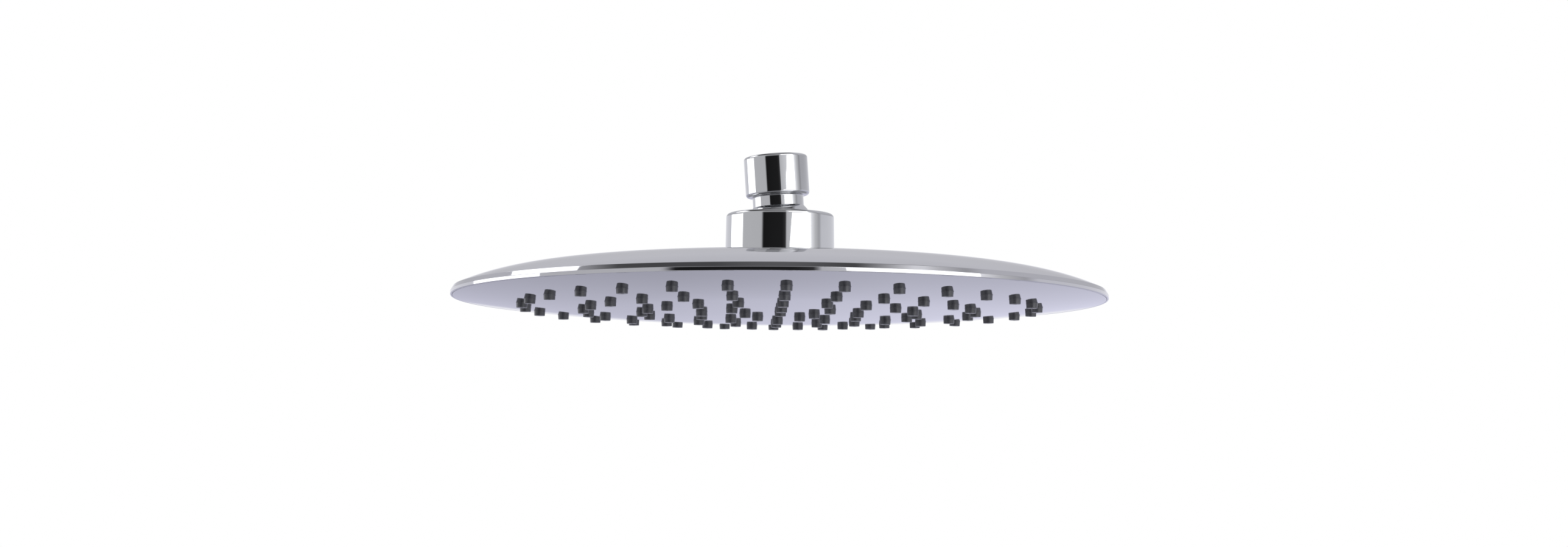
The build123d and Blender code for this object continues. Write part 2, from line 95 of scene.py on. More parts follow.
# The face's crown: the middle is cut from a large ball, the margin is an arc up to the rim
face_low = rim_bottom - face_sag
middle_lift = face_crown - sqrt(face_crown**2 - face_middle**2)
middle_normal = Vector((-face_middle / face_crown, sqrt(1 - (face_middle / face_crown) ** 2)))
crown_run = Vector((face_radius - face_middle, face_sag - middle_lift))
crown_arc = crown_run.length_squared / (2 * crown_run.dot(middle_normal))
middle_centre = Vector((0, face_low + face_crown))
margin_centre = Vector((face_middle, face_low + middle_lift)) + middle_normal * crown_arc


def face_centre(radius):
    """Centre and radius of the arc that the face's section follows at a radius."""
    return (middle_centre, face_crown) if radius <= face_middle else (margin_centre, crown_arc)


def face_height(radius):
    centre, size = face_centre(radius)
    return centre.y - sqrt(size**2 - (radius - centre.x) ** 2)


# Nodes, colours and materials


def linear(code):
    """Linear colour of an sRGB hex code."""
    levels = [int(code[i : i + 2], 16) / 255 for i in (1, 3, 5)]
    return tuple([c / 12.92 if c <= 0.04045 else ((c + 0.055) / 1.055) ** 2.4 for c in levels] + [1.0])


def add(tree, kind, inputs=None, **settings):
    """Adds a node with its settings; an input is a value or another node's output."""
    made = tree.nodes.new(kind)
    for key, value in settings.items():
        setattr(made, key, value)
    for key, value in (inputs or {}).items():
        if isinstance(value, bpy.types.NodeSocket):
            tree.links.new(value, made.inputs[key])
        else:
            made.inputs[key].default_value = value
    return made


def material(name, colour, metallic, roughness, **sockets):
    """A surface shader and its tree; sockets are further values of the shader."""
    made = bpy.data.materials.new(name)
    made.use_nodes = True
    tree = made.node_tree
    shader = tree.nodes["Principled BSDF"]
    shader.inputs["Base Color"].default_value = linear(colour)
    shader.inputs["Metallic"].default_value = metallic
    shader.inputs["Roughness"].default_value = roughness
    for key, value in sockets.items():
        shader.inputs[key.replace("_", " ")].default_value = value
    return made, tree, shader


def grains(tree, size, detail=3.0):
    """Noise over the piece with grains of a size in millimetres, one size or one for each axis."""
    place = add(tree, "ShaderNodeTexCoord").outputs["Object"]
    sizes = size if isinstance(size, tuple) else (size, size, size)
    fitted = add(tree, "ShaderNodeMapping", {"Vector": place, "Scale": [1 / (s * mm) for s in sizes]})
    noise = add(tree, "ShaderNodeTexNoise", {"Vector": fitted.outputs[0], "Scale": 1.0, "Detail": detail})
    return noise.outputs["Fac"]


def patches(tree, size, low, high, detail=3.0):
    """Value that wanders between two values in patches of a size in millimetres."""
    usual = {"From Min": 0.3, "From Max": 0.7}
    inputs = {"Value": grains(tree, size, detail), "To Min": low, "To Max": high}
    return add(tree, "ShaderNodeMapRange", usual | inputs).outputs["Result"]


def relief(tree, shader, *layers):
    """Bumps under a shader, each a height and its depth in millimetres."""
    normal = None
    for height, depth in layers:
        inputs = {"Height": height, "Distance": depth * mm}
        if normal:
            inputs["Normal"] = normal
        normal = add(tree, "ShaderNodeBump", inputs).outputs["Normal"]
    tree.links.new(normal, shader.inputs["Normal"])


def chrome_on_brass():
    # Decorative chrome over turned and buffed brass: a clear mirror whose edges of light waver a little
    # where the buff has run over them
    made, tree, shader = material("chrome_plate_on_turned_brass", "#C6C7C9", 1.0, 0.03)
    tree.links.new(patches(tree, 9.0, 0.015, 0.04), shader.inputs["Roughness"])
    relief(tree, shader, (grains(tree, (9.0, 9.0, 5.0), 0.0), 0.01))
    return made


def chrome_on_abs():
    # Chrome over moulded ABS: a mirror with long, hardly visible waves from the moulding and a faint
    # haze in streaks where drops have been wiped away
    made, tree, shader = material("chrome_plate_on_moulded_abs", "#C4C4C8", 1.0, 0.04)
    streak = (34.0, 3.0, 3.0)
    tree.links.new(patches(tree, streak, 0.02, 0.075, 4.0), shader.inputs["Roughness"])
    relief(tree, shader, (grains(tree, 26.0, 0.0), 0.012), (grains(tree, streak, 4.0), 0.0006))
    return made


def silicone():
    # Liquid silicone rubber, moulded: soft black satin, a little paler where limescale starts
    made, tree, shader = material("black_silicone_moulded", "#54555A", 0.0, 0.3, IOR=1.5)
    scale = {0: patches(tree, 2.5, 0, 1), 6: linear("#4C4D51"), 7: linear("#5C5D62")}
    shade = add(tree, "ShaderNodeMix", scale, data_type="RGBA")
    tree.links.new(shade.outputs[2], shader.inputs["Base Color"])
    tree.links.new(patches(tree, 0.6, 0.25, 0.36), shader.inputs["Roughness"])
    relief(tree, shader, (grains(tree, 0.6), 0.02))
    return made


def moulding(name, low, high, roughness, grain, depth, metallic=0.0, **sockets):
    """A plain finish between two close shades, with grains of a size and depth in millimetres."""
    cloud_grains, smoothest, roughest = 8, 0.8, 1.2
    made, tree, shader = material(name, low, metallic, roughness, **sockets)
    clouds = {0: patches(tree, cloud_grains * grain, 0, 1), 6: linear(low), 7: linear(high)}
    shade = add(tree, "ShaderNodeMix", clouds, data_type="RGBA")
    tree.links.new(shade.outputs[2], shader.inputs["Base Color"])
    uneven = patches(tree, grain, roughness * smoothest, roughness * roughest)
    tree.links.new(uneven, shader.inputs["Roughness"])
    relief(tree, shader, (grains(tree, grain), depth))
    return made


chromed_brass = chrome_on_brass()
chromed_abs = chrome_on_abs()
black_silicone = silicone()
# Vulcanised rubber: dull black with a fine bloom
black_rubber = moulding("epdm_rubber_moulded", "#121213", "#1B1B1D", 0.6, 0.4, 0.02, IOR=1.52)
# Turned acetal: dense waxy white
white_acetal = moulding("acetal_turned", "#E9E8E3", "#E2E1DA", 0.35, 1.5, 0.01, IOR=1.48)
# Glass-filled nylon: matt grey with a grain of short fibres at its skin
grey_nylon = moulding("glass_filled_nylon_moulded", "#62656A", "#6F7276", 0.5, 0.8, 0.02, IOR=1.53)
# Nylon, moulded: smooth and slightly cloudy green
green_nylon = moulding("nylon_moulded", "#3F9153", "#4A9B5E", 0.3, 1.2, 0.01, IOR=1.53)
# Stainless sheet and screws: soft grey metal with a fine rolled grain
stainless = moulding("stainless_steel_rolled", "#B9B7B2", "#C3C1BC", 0.28, 0.3, 0.006, 1.0)
# Turned brass without plating: yellow metal that has dulled a little in patches
bare_brass = moulding("brass_turned", "#D2AE66", "#DDBB78", 0.25, 0.6, 0.006, 1.0)

for finish, *names in (
    (stainless, "filter_screen", "retainer_screws"),
    (black_rubber, "inlet_washer", "regulator_o_ring", "ball_seal", "spigot_gasket", "rim_gasket"),
    (green_nylon, "flow_regulator"),
    (white_acetal, "ball_liner", "ball_seat", "slip_ring"),
    (grey_nylon, "mat_retainer"),
    (bare_brass, "spigot"),
):
    for name in names:
        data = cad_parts[name].data
        data.materials.clear()
        data.materials.append(finish)


# Sections and turned forms


def piece(name, mesh, finish, body, slot_name, *nodes):
    """A finished piece that rides on a body and may stand for CAD nodes."""
    made = bpy.data.objects.new(name, mesh)
    bpy.context.scene.collection.objects.link(made)
    mesh.materials.clear()
    mesh.materials.append(finish)
    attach(made, body)
    if nodes:
        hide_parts(*nodes)


def spaced(start, end, steps):
    """Evenly spaced values from one to another, with both of them."""
    return [start + (end - start) * i / steps for i in range(steps + 1)]


def arc(centre, radius, start, end, steps):
    """Points of an arc in a section, from one angle to another in degrees."""
    turns = [radians(angle) for angle in spaced(start, end, steps)]
    return [(centre[0] + radius * cos(t), centre[1] + radius * sin(t)) for t in turns]


def sharp(*points):
    """Runs between points with an edge at each of them."""
    return [[a, b] for a, b in zip(points, points[1:])]


def smooth(*corners, steps=6):
    """One run through corners: each is a radius, a height and the size of its rounding."""
    run = []
    for i, (across, height, size) in enumerate(corners):
        here = Vector((across, height))
        if not size:
            run.append(tuple(here))
            continue
        before = (Vector(corners[i - 1][:2]) - here).normalized()
        after = (Vector(corners[i + 1][:2]) - here).normalized()
        half = before.angle(after) / 2
        spread = pi / 2 - half
        centre = here + (before + after).normalized() * size / sin(half)
        first = here + before * size / tan(half) - centre
        last = here + after * size / tan(half) - centre
        for step in range(steps + 1):
            share = tan((step / steps * 2 - 1) * spread) / tan(spread)
            blend = (first * (1 - share) + last * (1 + share)) / 2
            run.append(tuple(centre + blend.normalized() * size))
    return run


def slopes(run):
    """Outward normals along a run of a section whose outside is on its right hand."""
    normals = []
    for i in range(len(run)):
        before, after = run[max(i - 1, 0)], run[min(i + 1, len(run) - 1)]
        along = Vector((after[0] - before[0], after[1] - before[1])).normalized()
        normals.append((along.y, -along.x))
    return normals


def lathe(name, runs, centre, axis, steps):
    """Turns a section about an axis. A run is smooth; where two runs meet there is an edge."""
    turn = up.rotation_difference(axis)
    runs = [list(run) for run in runs]
    rows, starts = [], []
    for before, run in zip([runs[-1]] + runs, runs):
        run[0] = before[-1]
        starts.append(len(rows))
        rows += run[:-1]
    vertices, index = [], []
    for radius, height in rows:
        ring = []
        for step in range(steps if radius > 0 else 1):
            angle = 2 * pi * step / steps
            ring.append(len(vertices))
            place = Vector((radius * cos(angle), radius * sin(angle), height))
            vertices.append((centre + turn @ place) * mm)
        index.append(ring)

    def normal(slope, step):
        angle = 2 * pi * step / steps
        return turn @ Vector((slope[0] * cos(angle), slope[0] * sin(angle), slope[1]))

    faces, normals = [], []
    for start, run in zip(starts, runs):
        slope = slopes(run)
        for i in range(len(run) - 1):
            low, high = index[start + i], index[(start + i + 1) % len(rows)]
            if len(low) == 1 and len(high) == 1:
                continue
            for step in range(steps):
                after = (step + 1) % steps
                corners = [
                    (low[step % len(low)], slope[i], step),
                    (low[after % len(low)], slope[i], step + 1),
                    (high[after % len(high)], slope[i + 1], step + 1),
                    (high[step % len(high)], slope[i + 1], step),
                ]
                kept = [c for n, c in enumerate(corners) if c[0] != corners[n - 1][0]]
                faces.append([c[0] for c in kept])
                normals += [normal(c[1], c[2]) for c in kept]
    mesh = bpy.data.meshes.new(name)
    mesh.from_pydata(vertices, [], faces)
    mesh.shade_smooth()
    mesh.normals_split_custom_set(normals)
    return mesh


def merged_node(name):
    """Merged copy of a CAD node's mesh, open for changes."""
    merge_gap = 0.002
    shape = bmesh.new()
    shape.from_mesh(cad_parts[name].data)
    bmesh.ops.remove_doubles(shape, verts=shape.verts, dist=merge_gap * mm)
    return shape


def head_place(point):
    """Radius and height of a point from the rim's centre, in millimetres."""
    local = point / mm - rim_centre
    return sqrt(local.x**2 + local.y**2), local.z


def together(name, meshes):
    """One mesh of several, with their normals as they are."""
    holders = [bpy.data.objects.new(name, mesh) for mesh in meshes]
    for holder in holders:
        bpy.context.scene.collection.objects.link(holder)
    with bpy.context.temp_override(active_object=holders[0], selected_editable_objects=holders):
        bpy.ops.object.join()
    mesh = holders[0].data
    bpy.data.objects.remove(holders[0])
    return mesh


# Node trees: copies of a shape on a ring, and the ridge of a thread


def ring_of_copies():
    """Copies of a shape on a level ring, each turned with the ring and a little out of true."""
    tree = bpy.data.node_groups.new("ring_of_copies", "GeometryNodeTree")
    tree.interface.new_socket("Geometry", in_out="OUTPUT", socket_type="NodeSocketGeometry")
    sockets = {"Shape": "Object", "Count": "Int", "Radius": "Float", "Height": "Float", "Phase": "Float"}
    sockets |= {"Tilt": "Float", "Seed": "Int", "Finish": "Material"}
    for name, kind in sockets.items():
        tree.interface.new_socket(name, in_out="INPUT", socket_type="NodeSocket" + kind)
    given = add(tree, "NodeGroupInput").outputs
    ring = add(tree, "GeometryNodeMeshCircle", {"Vertices": given["Count"], "Radius": given["Radius"]})
    lift = add(tree, "ShaderNodeCombineXYZ", {"Z": given["Height"]}).outputs[0]
    turn = add(tree, "ShaderNodeCombineXYZ", {"Z": given["Phase"]}).outputs[0]
    placed = add(tree, "GeometryNodeTransform", {0: ring.outputs[0], "Translation": lift, "Rotation": turn})
    step = add(tree, "ShaderNodeMath", {0: 2 * pi, 1: given["Count"]}, operation="DIVIDE").outputs[0]
    place = add(tree, "GeometryNodeInputIndex").outputs[0]
    angle = add(tree, "ShaderNodeMath", {0: place, 1: step, 2: given["Phase"]}, operation="MULTIPLY_ADD")
    least = add(tree, "ShaderNodeMath", {0: given["Tilt"], 1: -1.0}, operation="MULTIPLY").outputs[0]
    low = add(tree, "ShaderNodeCombineXYZ", {"X": least, "Y": least}).outputs[0]
    high = add(tree, "ShaderNodeCombineXYZ", {"X": given["Tilt"], "Y": given["Tilt"]}).outputs[0]
    range_inputs = {"Min": low, "Max": high, "Seed": given["Seed"]}
    tilt = add(tree, "FunctionNodeRandomValue", range_inputs, data_type="FLOAT_VECTOR")
    way = add(tree, "ShaderNodeCombineXYZ", {"Z": angle.outputs[0]}).outputs[0]
    facing = add(tree, "ShaderNodeVectorMath", {0: tilt.outputs[0], 1: way}, operation="ADD").outputs[0]
    shape = add(tree, "GeometryNodeObjectInfo", {"Object": given["Shape"]}).outputs["Geometry"]
    copy_inputs = {"Points": placed.outputs[0], "Instance": shape, "Rotation": facing}
    copies = add(tree, "GeometryNodeInstanceOnPoints", copy_inputs)
    solid = add(tree, "GeometryNodeRealizeInstances", {0: copies.outputs[0]})
    done = add(tree, "GeometryNodeSetMaterial", {0: solid.outputs[0], "Material": given["Finish"]})
    add(tree, "NodeGroupOutput", {0: done.outputs[0]})
    return tree


def thread_ridge():
    """Ridge of an inner thread along its helix, fading out at both ends."""
    tree = bpy.data.node_groups.new("thread_ridge", "GeometryNodeTree")
    tree.interface.new_socket("Geometry", in_out="OUTPUT", socket_type="NodeSocketGeometry")
    sockets = {"Turns": "Float", "Pitch": "Float", "Root": "Float", "Depth": "Float", "Foot": "Float"}
    sockets |= {"Crest": "Float", "Rounding": "Float", "Finish": "Material"}
    for name, kind in sockets.items():
        tree.interface.new_socket(name, in_out="INPUT", socket_type="NodeSocket" + kind)
    given = add(tree, "NodeGroupInput").outputs
    rise = add(tree, "ShaderNodeMath", {0: given["Turns"], 1: given["Pitch"]}, operation="MULTIPLY")
    winding = {"Resolution": 72, "Rotations": given["Turns"], "Height": rise.outputs[0], "Reverse": True}
    radii = {"Start Radius": given["Root"], "End Radius": given["Root"]}
    helix = add(tree, "GeometryNodeCurveSpiral", winding | radii)
    level = add(tree, "GeometryNodeSetCurveNormal", {0: helix.outputs[0]}, mode="Z_UP")
    widths = {"Bottom Width": given["Foot"], "Top Width": given["Crest"], "Height": given["Depth"]}
    section = add(tree, "GeometryNodeCurvePrimitiveQuadrilateral", widths | {"Offset": 0.0}, mode="TRAPEZOID")
    half = add(tree, "ShaderNodeMath", {0: given["Depth"], 1: 0.5}, operation="MULTIPLY").outputs[0]
    seat = add(tree, "ShaderNodeCombineXYZ", {"Y": half}).outputs[0]
    raised = add(tree, "GeometryNodeTransform", {0: section.outputs[0], "Translation": seat})
    turned = add(tree, "GeometryNodeTransform", {0: raised.outputs[0], "Rotation": (0, 0, pi / 2)})
    edges = {"Curve": turned.outputs[0], "Count": 3, "Radius": given["Rounding"], "Limit Radius": True}
    worn = add(tree, "GeometryNodeFilletCurve", edges, mode="POLY")
    along = add(tree, "GeometryNodeSplineParameter").outputs["Factor"]
    back = add(tree, "ShaderNodeMath", {0: 1.0, 1: along}, operation="SUBTRACT").outputs[0]
    end = add(tree, "ShaderNodeMath", {0: along, 1: back}, operation="MINIMUM").outputs[0]
    fade = add(tree, "ShaderNodeMapRange", {"Value": end, "From Max": 0.08, "To Min": 0.02})
    curves = {"Curve": level.outputs[0], "Profile Curve": worn.outputs[0]}
    swept = add(tree, "GeometryNodeCurveToMesh", curves | {"Scale": fade.outputs[0], "Fill Caps": True})
    solid = add(tree, "GeometryNodeRealizeInstances", {0: swept.outputs[0]})
    done = add(tree, "GeometryNodeSetMaterial", {0: solid.outputs[0], "Material": given["Finish"]})
    add(tree, "NodeGroupOutput", {0: done.outputs[0]})
    return tree


def grown(name, tree, values):
    """Plain mesh that a node tree makes with the given inputs."""
    holder = bpy.data.objects.new(name, bpy.data.meshes.new(name))
    bpy.context.scene.collection.objects.link(holder)
    modifier = holder.modifiers.new("grow", "NODES")
    modifier.node_group = tree
    keys = {s.name: s.identifier for s in tree.interface.items_tree if s.in_out == "INPUT"}
    for key, value in values.items():
        modifier[keys[key]] = value
    bpy.context.view_layer.update()
    mesh = bpy.data.meshes.new_from_object(holder.evaluated_get(bpy.context.evaluated_depsgraph_get()))
    holder.modifiers.remove(modifier)
    bpy.data.objects.remove(holder)
    return mesh


ring_tree = ring_of_copies()


def copies_on_ring(mesh, finish, count, radius, height, phase, tilt=0.0, seed=0):
    """Copies of a mesh on a ring about the head's axis, at a radius and height in millimetres."""
    shape = bpy.data.objects.new("shape", mesh)
    values = {"Shape": shape, "Count": count, "Radius": radius * mm, "Height": height * mm, "Phase": phase}
    made = grown("ring", ring_tree, values | {"Tilt": tilt, "Seed": seed, "Finish": finish})
    bpy.data.objects.remove(shape)
    made.transform(Matrix.Translation(rim_centre * mm))
    return made


# Inlet connector: ball, neck and barrel, bored for the thread, the washer and the regulator


def inlet_connector():
    """The turned piece, with a ball at its foot and the thread's chamfered bore at its top."""
    ball_radius, mouth, bore = 13.4, 5.5, 5.0
    neck_radius, neck_top, neck_fillet = 9.75, 13.2, 0.5
    barrel_radius, barrel_edge, chamfer = 12.2, 1.2, 0.1
    washer_radius, washer_depth, pocket_radius, pocket_depth = 9.35, 3.0, 8.0, 9.0
    thread_low = inlet_reach - thread_length
    washer_low, pocket_low = thread_low - washer_depth, thread_low - pocket_depth
    mouth_height, neck_low = -sqrt(ball_radius**2 - mouth**2), sqrt(ball_radius**2 - neck_radius**2)
    mouth_turn, neck_turn = degrees(asin(mouth_height / ball_radius)), degrees(asin(neck_low / ball_radius))
    runs = [
        arc((0, 0), ball_radius, mouth_turn, neck_turn, steps=48),
        smooth(
            (neck_radius, neck_low, 0),
            (neck_radius, neck_top, neck_fillet),
            (barrel_radius, neck_top, barrel_edge),
            (barrel_radius, inlet_reach, barrel_edge),
            (thread_root + chamfer, inlet_reach, 0),
            steps=12,
        ),
    ]
    runs += sharp(
        (thread_root + chamfer, inlet_reach),
        (thread_root, inlet_reach - chamfer),
        (thread_root, thread_low),
        (washer_radius, thread_low),
        (washer_radius, washer_low),
        (pocket_radius, washer_low),
        (pocket_radius, pocket_low),
        (bore, pocket_low),
        (bore, mouth_height),
        (mouth, mouth_height),
    )
    return lathe("inlet_connector_turned", runs, ball_centre, inlet_axis, steps=192)


piece("inlet_connector_turned", inlet_connector(), chromed_brass, "inlet", "chromed_brass", "inlet_connector")


def inlet_thread():
    """Ridge of the pipe thread, with its crest and roots rounded, clear of both ends of the bore."""
    run_in, run_out, foot_share, crest_share, rounding = 0.6, 0.8, 0.86, 0.24, 0.22
    turns = (thread_length - run_in - run_out) / thread_pitch
    sizes = {"Pitch": thread_pitch, "Root": thread_root, "Depth": thread_root - thread_crest}
    sizes |= {"Foot": thread_pitch * foot_share, "Crest": thread_pitch * crest_share}
    sizes |= {"Rounding": rounding}
    values = {key: size * mm for key, size in sizes.items()} | {"Turns": turns, "Finish": chromed_brass}
    mesh = grown("inlet_thread_ridge", thread_ridge(), values)
    mesh.shade_smooth()
    turn = up.rotation_difference(inlet_axis).to_matrix().to_4x4()
    seat = Vector((0, 0, inlet_reach - thread_length + run_out))
    mesh.transform(Matrix.Translation(ball_centre * mm) @ turn @ Matrix.Translation(seat * mm))
    return mesh


piece("inlet_thread_ridge", inlet_thread(), chromed_brass, "inlet", "chromed_brass")


# Collar: lip round the ball, rounded top edge, slightly flared wall


def collar():
    """The ring nut, open below, where it screws over the spigot."""
    top, radius, foot, edge, small_edge = 6.4, 20.6, 20.9, 1.5, 0.25
    low = dome_height(foot) + fit - ball_height
    lip_radius, lip_top, lip_low, lip_flare = 13.75, 6.1, 5.1, 0.1
    seat_radius, seat_low = 16.0, 1.9
    lip_turns = [degrees(asin(height / lip_radius)) for height in (lip_top, lip_low)]
    lip = arc((0, 0), lip_radius, *lip_turns, steps=8)
    runs = [
        smooth(
            (shell_hole, low, 0),
            (foot, low, small_edge),
            (radius, top, edge),
            (lip_radius + lip_flare, top, small_edge),
            (lip[0][0], lip[0][1], 0),
            steps=12,
        ),
        lip,
    ]
    below = [(seat_radius, lip_low), (seat_radius, seat_low), (shell_hole, seat_low), (shell_hole, low)]
    runs += sharp(lip[-1], *below)
    return lathe("collar_turned", runs, ball_centre, up, steps=224)


piece("collar_turned", collar(), chromed_brass, "head", "chromed_brass", "collar")


# Top shell: dome, bevelled rim, ledge, gasket groove and catch ring, with radial ribs under the dome


def shell_section():
    """Closed section of the shell from the ledge round the rim, over the dome and back under it."""

    def under(radius):
        return dome_height(radius) - shell_wall

    catch_low = face_height(hook_radius) + face_wall + 2 * hook_play
    catch_outer = catch_inner + catch_wall
    lip_edge, low_edge, bevel_edge, dome_margin = 0.12, 0.3, 0.35, 1.5
    dome_start = head_radius - rim_bevel - dome_margin
    dome = [(r, dome_height(r)) for r in spaced(dome_start, shell_hole, steps=90)]
    runs = sharp(
        (ledge_inner, ledge_height),
        (groove_inner, ledge_height),
        (groove_inner, ledge_height + groove_depth),
        (groove_outer, ledge_height + groove_depth),
        (groove_outer, ledge_height),
        (face_radius + fit, ledge_height),
    )
    outside = smooth(
        (face_radius + fit, ledge_height, 0),
        (face_radius + fit, rim_bottom, lip_edge),
        (head_radius, rim_bottom, low_edge),
        (head_radius, rim_shoulder, bevel_edge),
        (head_radius - rim_bevel, rim_top, bevel_edge),
        (dome_start, dome_height(dome_start), 0),
    )
    runs.append(outside + dome[1:])
    runs += sharp((shell_hole, dome_height(shell_hole)), (shell_hole, under(shell_hole)))
    runs.append([(r, under(r)) for r in spaced(shell_hole, catch_inner, steps=40)])
    runs += sharp(
        (catch_inner, under(catch_inner)),
        (catch_inner, catch_low + hook_nose_height),
        (catch_lip, catch_low + hook_nose_height),
        (catch_lip, catch_low),
        (catch_outer, catch_low),
        (catch_outer, under(catch_outer)),
    )
    runs.append([(r, under(r)) for r in spaced(catch_outer, ledge_inner, steps=6)])
    return runs + sharp((ledge_inner, under(ledge_inner)), (ledge_inner, ledge_height))


def shell_rib():
    """One rib along +X with its top inside the dome's wall, slimmer towards its free edge."""
    shape = bmesh.new()
    rows = []
    for radius in spaced(rib_inner, rib_outer, steps=24):
        root, edge = dome_height(radius) - shell_wall / 2, dome_height(radius) - shell_wall - rib_depth
        broad, slim = rib_width / 2, rib_width / 2 - rib_taper
        ring = [(broad, root), (-broad, root), (-slim, edge), (slim, edge)]
        rows.append([shape.verts.new(Vector((radius, side, height)) * mm) for side, height in ring])
    for before, after in zip(rows, rows[1:]):
        for i in range(4):
            shape.faces.new((before[i], before[i - 1], after[i - 1], after[i]))
    shape.faces.new(rows[0])
    shape.faces.new(rows[-1][::-1])
    bmesh.ops.recalc_face_normals(shape, faces=shape.faces)
    mesh = bpy.data.meshes.new("shell_rib")
    shape.to_mesh(mesh)
    shape.free()
    return mesh


shell = lathe("top_shell_moulded", shell_section(), rim_centre, up, steps=360)
ribs = copies_on_ring(shell_rib(), chromed_abs, rib_count, radius=0.0, height=0.0, phase=0.0)
shell_and_ribs = together("top_shell_moulded", [shell, ribs])
piece("top_shell_moulded", shell_and_ribs, chromed_abs, "head", "chromed_abs", "top_shell")


# Face plate: the CAD node with its crown's exact normals, so that it reflects as one mirror


def face_plate():
    """The plate's own mesh, smooth over the crown and round the rim, and flat elsewhere."""
    facing_down, standing, height_play, edge_play = -0.9, 0.05, 0.05, 0.01
    shape = merged_node("face_plate")
    mesh = bpy.data.meshes.new("face_plate_mirror")
    shape.to_mesh(mesh)
    shape.free()
    mesh.shade_smooth()
    normals = []
    for polygon in mesh.polygons:
        places = [head_place(mesh.vertices[i].co) for i in polygon.vertices]
        on_face = all(abs(height - face_height(radius)) < height_play for radius, height in places)
        on_edge = all(radius > face_radius - edge_play for radius, _ in places)
        crowned = polygon.normal.z < facing_down and on_face
        upright = abs(polygon.normal.z) < standing and on_edge
        for i, (radius, _) in zip(polygon.vertices, places):
            flat = (mesh.vertices[i].co / mm - rim_centre) * Vector((1, 1, 0))
            way = flat.normalized()
            if crowned:
                centre, _ = face_centre(radius)
                slope = Vector((radius, face_height(radius))) - centre
                normals.append((way * slope.x + up * slope.y).normalized())
            else:
                normals.append(way if upright else polygon.normal.copy())
    mesh.normals_split_custom_set(normals)
    return mesh


piece("face_plate_mirror", face_plate(), chromed_abs, "head", "chromed_abs", "face_plate")


# Nozzle mat: the sheet is the CAD node's, and each nozzle is turned finely with a boss in its hole


def nozzle():
    """One nozzle pointing down, heights counted down from the face."""
    tip, foot, boss, tip_edge, root_cover = 2.06, 2.16, 2.22, 0.12, 0.4
    outlet, outlet_depth, outlet_flare, flare_depth, flare_edge = 0.45, 1.0, 0.18, 0.2, 0.05
    root = mat_top - root_cover
    reach = nozzle_drop - tilt_room
    runs = sharp((0, -root), (boss, -root), (boss, 0))
    runs.append(
        smooth(
            (boss, 0, 0),
            (foot, boss - foot, 0),
            (tip, reach, tip_edge),
            (outlet + outlet_flare, reach, flare_edge),
            (outlet, reach - flare_depth, 0),
            steps=4,
        )
    )
    runs += sharp(
        (outlet, reach - flare_depth),
        (outlet, reach - outlet_depth),
        (0, reach - outlet_depth),
        (0, -root),
    )
    runs = [[(across, -depth) for across, depth in reversed(run)] for run in reversed(runs)]
    return lathe("nozzle", runs, Vector((0, 0, 0)), up, steps=28)


def mat_sheet():
    """The CAD node's sheet, with its own plain nozzles drawn up inside the turned ones."""
    drawn_up = 0.6
    shape = merged_node("nozzle_mat")
    for vertex in shape.verts:
        radius, height = head_place(vertex.co)
        if height < face_height(radius) + face_wall / 2:
            nearest = min(nozzle_rings, key=lambda ring: abs(ring[0] - radius))
            vertex.co.z += (face_height(nearest[0]) + face_wall * drawn_up - height) * mm
    mesh = bpy.data.meshes.new("mat_sheet")
    shape.to_mesh(mesh)
    shape.free()
    return mesh


nozzle_mesh = nozzle()
rings = []
for seed, (radius, count) in enumerate(nozzle_rings):
    place = (count, radius, face_height(radius), nozzle_phase)
    rings.append(copies_on_ring(nozzle_mesh, black_silicone, *place, nozzle_tilt, seed))
whole_mat = together("nozzle_mat_moulded", rings + [mat_sheet()])
piece("nozzle_mat_moulded", whole_mat, black_silicone, "head", "black_silicone", "nozzle_mat")


# Stage: pale floor, low and high soft boxes left and right, and a plain surround

box_distance = 1.5


def floor():
    """Round sheet of paper well below the head, which fades into the white before its edge."""
    depth, radius, fade_start, fade_end = 1.3, 1.25, 0.5, 1.2
    mesh = bpy.data.meshes.new("floor")
    shape = bmesh.new()
    bmesh.ops.create_circle(shape, cap_ends=True, segments=128, radius=radius)
    bmesh.ops.translate(shape, verts=shape.verts, vec=(0, 0, -depth))
    shape.to_mesh(mesh)
    shape.free()
    made = bpy.data.objects.new("floor", mesh)
    bpy.context.scene.collection.objects.link(made)
    finish, tree, shader = material("floor_paper", "#E6E6EC", 0.0, 0.9, Specular_IOR_Level=0.1)
    mesh.materials.append(finish)
    place = add(tree, "ShaderNodeTexCoord").outputs["Object"]
    flat = add(tree, "ShaderNodeVectorMath", {0: place, 1: (1, 1, 0)}, operation="MULTIPLY")
    far = add(tree, "ShaderNodeVectorMath", {0: flat.outputs[0]}, operation="LENGTH").outputs["Value"]
    inputs = {"Value": far, "From Min": fade_start, "From Max": fade_end}
    fade = add(tree, "ShaderNodeMapRange", inputs, interpolation_type="SMOOTHSTEP").outputs["Result"]
    clear = add(tree, "ShaderNodeBsdfTransparent").outputs[0]
    mixed = add(tree, "ShaderNodeMixShader", {0: fade, 1: shader.outputs[0], 2: clear})
    tree.links.new(mixed.outputs[0], tree.nodes["Material Output"].inputs["Surface"])


def soft_box(name, azimuth, elevation, width, height, level, roll=0.0):
    """Lamp of a size in metres that faces the head; azimuth 0 is behind the camera, 90 on the right."""
    a, e = radians(azimuth), radians(elevation)
    away = Vector((sin(a) * cos(e), -cos(a) * cos(e), sin(e)))
    lamp = bpy.data.lights.new(name, "AREA")
    lamp.shape = "RECTANGLE"
    lamp.size, lamp.size_y = width, height
    lamp.energy = level * pi * width * height
    made = bpy.data.objects.new(name, lamp)
    bpy.context.scene.collection.objects.link(made)
    made.location = rim_centre * mm + away * box_distance
    facing = (-away).to_track_quat("-Z", "Y") @ Quaternion((0, 0, 1), radians(roll))
    made.rotation_euler = facing.to_euler()


